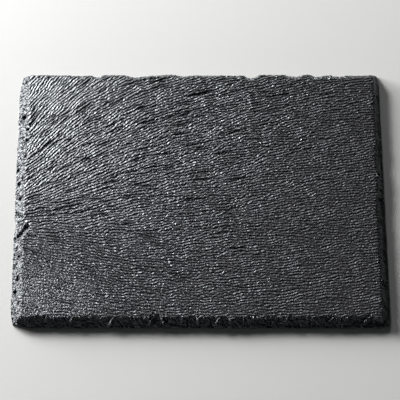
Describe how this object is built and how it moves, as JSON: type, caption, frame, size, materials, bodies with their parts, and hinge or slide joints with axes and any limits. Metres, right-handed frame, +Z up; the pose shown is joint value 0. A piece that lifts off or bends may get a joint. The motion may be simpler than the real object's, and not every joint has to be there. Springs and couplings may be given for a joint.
{
  "type": "slate tray",
  "caption": "Flat rectangular slab of natural cleft slate with hand-chipped sloping edges, for serving food.",
  "frame": {"origin": "on the table, under the middle of the slab", "axes": "+X to the right along the long side, +Y to the back along the short side, +Z up out of the cleft face"},
  "size_m": [0.2994, 0.2198, 0.007],
  "materials": {
    "slate_stone": "natural cleft, matt with a faint sheen"
  },
  "bodies": {
    "root": {"slate": "slate_stone"}
  },
  "joints": []
}
